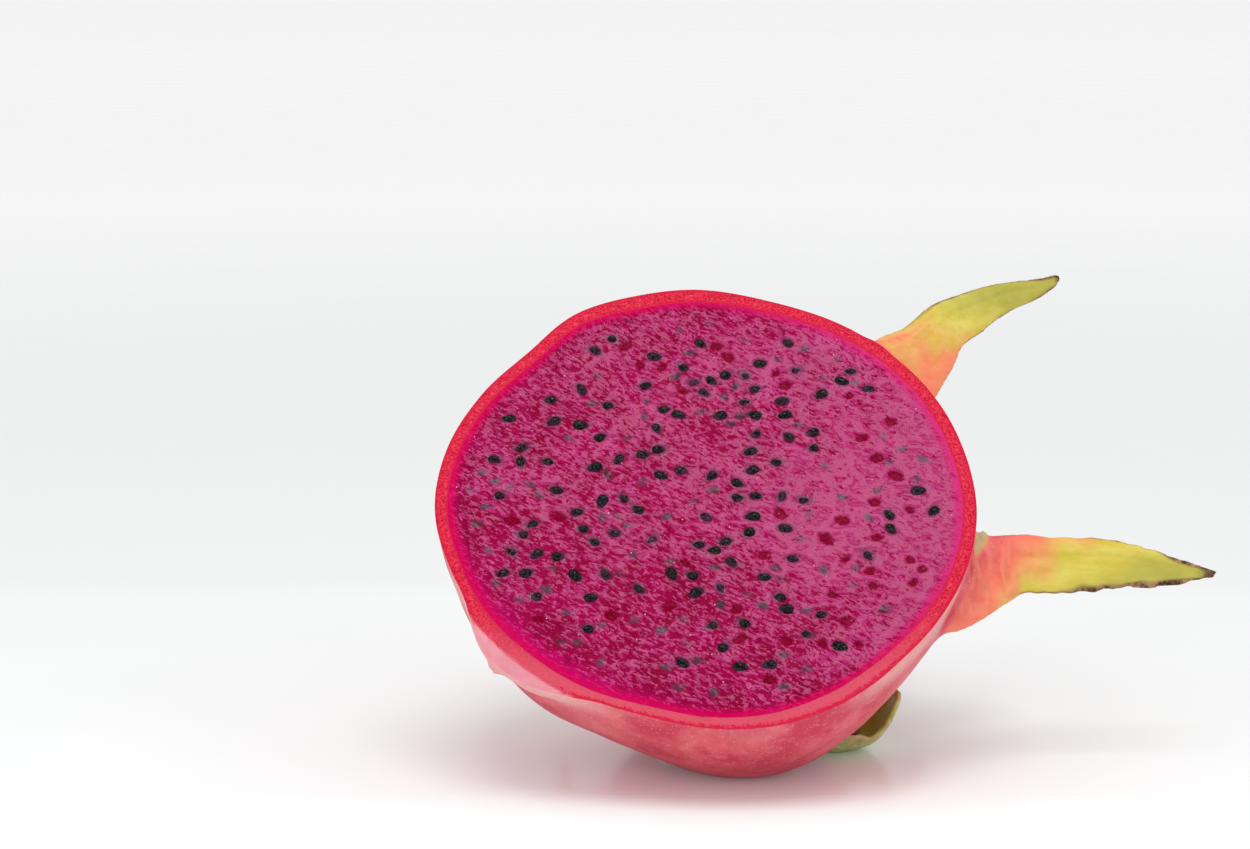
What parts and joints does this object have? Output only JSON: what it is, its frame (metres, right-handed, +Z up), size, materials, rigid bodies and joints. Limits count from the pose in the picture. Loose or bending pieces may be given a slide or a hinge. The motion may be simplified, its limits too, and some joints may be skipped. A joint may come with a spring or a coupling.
{
  "type": "halved dragon fruit",
  "caption": "Half of a red dragon fruit, cut lengthwise, leaning back on its scales with the seeded magenta flesh facing up and forward.",
  "frame": {"origin": "middle of the flat spot of skin that the fruit half rests on, at table height", "axes": "+X along the fruit from its stem end to its blossom end, +Y away from the side that the cut face leans towards, +Z up"},
  "size_m": [0.1428, 0.0962, 0.0853],
  "materials": {
    "peel": "waxy satin skin, red to coral, with scales that run to green and brown at their tips",
    "flesh": "wet magenta pulp with small black seeds",
    "stem": "dull green-brown woody stub",
    "dry_flower": "dry brown papery cup"
  },
  "bodies": {
    "root": {"peel": "peel", "flesh": "flesh", "stem_stub": "stem", "flower_remnant": "dry_flower"}
  },
  "joints": []
}
